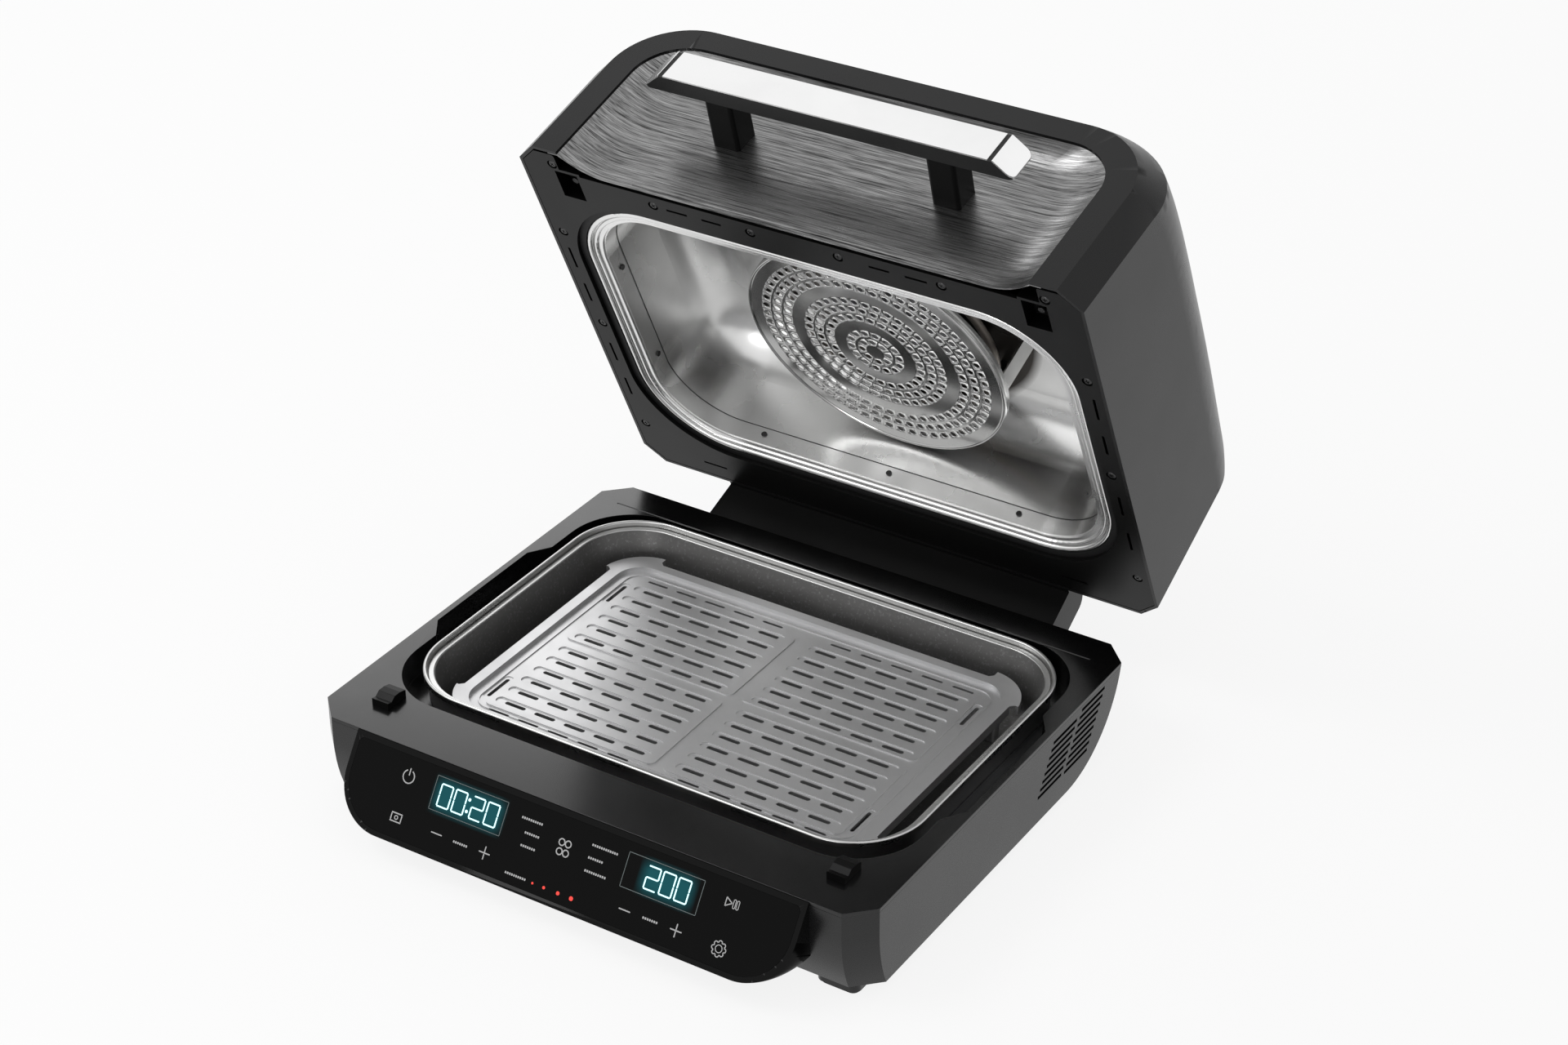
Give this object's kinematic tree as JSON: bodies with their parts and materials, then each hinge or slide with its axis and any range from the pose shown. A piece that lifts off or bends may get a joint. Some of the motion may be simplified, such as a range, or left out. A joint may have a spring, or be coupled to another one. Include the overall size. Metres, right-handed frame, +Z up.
{
  "type": "air fryer oven with hinged lid",
  "caption": "Countertop air fryer oven: low base with leaning touch panel, lift-out pan and grill plate, and a hinged domed lid with fan and bar handle.",
  "frame": {"origin": "on the table under the middle of the whole object with its lid open", "axes": "+X to the user's right, +Y to the back where the hinge is, +Z up"},
  "size_m": [0.45, 0.5833, 0.4656],
  "materials": {
    "aluminium": "mill finish",
    "black_plastic": "satin black moulding",
    "brushed_black": "black brushed steel",
    "cast_plate": "light grey non-stick coating",
    "circuit_board": "green board",
    "deck": "satin black moulding",
    "display": "lit teal digits on black",
    "heater_tube": "dull heater sheath",
    "housing": "fine-textured black moulding",
    "lid_paint": "satin dark moulding",
    "motor_can": "plated can",
    "pan_enamel": "grey non-stick coating",
    "panel": "gloss black",
    "panel_glass": "gloss black",
    "plated_steel": "zinc plated sheet",
    "polished_plate": "polished",
    "rubber": "soft black",
    "screw_steel": "plated",
    "stainless": "polished stainless"
  },
  "bodies": {
    "base": {"base_housing": "housing", "rubber_feet": "rubber", "base_plate": "plated_steel", "base_plate_screws": "screw_steel", "deck": "deck", "interlock_posts": "black_plastic", "heat_liner": "plated_steel", "control_panel": "panel", "panel_glass": "panel_glass", "timer_display": "display", "temperature_display": "display", "touch_board": "circuit_board", "power_board": "circuit_board", "cord_gland": "rubber", "hinge_pins": "screw_steel"},
    "pan": {"pan": "pan_enamel"},
    "plate": {"grill_plate": "cast_plate"},
    "lid": {"lid_shell": "lid_paint", "lid_front_panel": "brushed_black", "lid_rim_frame": "black_plastic", "rim_screws": "screw_steel", "dome_seal": "rubber", "dome": "stainless", "dome_skirt": "stainless", "skirt_rivets": "screw_steel", "fan_cover": "stainless", "cover_brackets": "stainless", "upper_heater": "heater_tube", "heater_clips": "stainless", "motor": "motor_can", "motor_bracket": "plated_steel", "interlock_switches": "black_plastic", "handle_grip": "black_plastic", "handle_plate": "polished_plate", "handle_posts": "black_plastic", "handle_screws": "screw_steel", "hinge_housing": "black_plastic"},
    "rotor": {"fan": "aluminium", "fan_nut": "screw_steel", "motor_shaft": "screw_steel", "cooling_fan": "black_plastic"},
    "left_plunger": {"left_plunger": "black_plastic"},
    "right_plunger": {"right_plunger": "black_plastic"}
  },
  "joints": [
    {"name": "lid_hinge", "type": "hinge", "parent": "base", "child": "lid", "pos_m": [0, 0.134, 0.0376], "axis": [-1, 0, 0], "range_deg": [-65.1, 0]},
    {"name": "pan_lift", "type": "slide", "parent": "base", "child": "pan", "axis": [0, 0, 1], "range_m": [0, 0.12]},
    {"name": "plate_lift", "type": "slide", "parent": "pan", "child": "plate", "axis": [0, 0, 1], "range_m": [0, 0.06]},
    {"name": "fan_spin", "type": "hinge", "parent": "lid", "child": "rotor", "pos_m": [0, 0.15674, 0.25796], "axis": [0, 0.907, 0.421], "continuous": true},
    {"name": "left_plunger_press", "type": "slide", "parent": "lid", "child": "left_plunger", "axis": [0, 0.907, 0.421], "range_m": [0, 0.003], "stiffness_N_per_m": 300, "springref_m": -0.001},
    {"name": "right_plunger_press", "type": "slide", "parent": "lid", "child": "right_plunger", "axis": [0, 0.907, 0.421], "range_m": [0, 0.003], "stiffness_N_per_m": 300, "springref_m": -0.001}
  ]
}
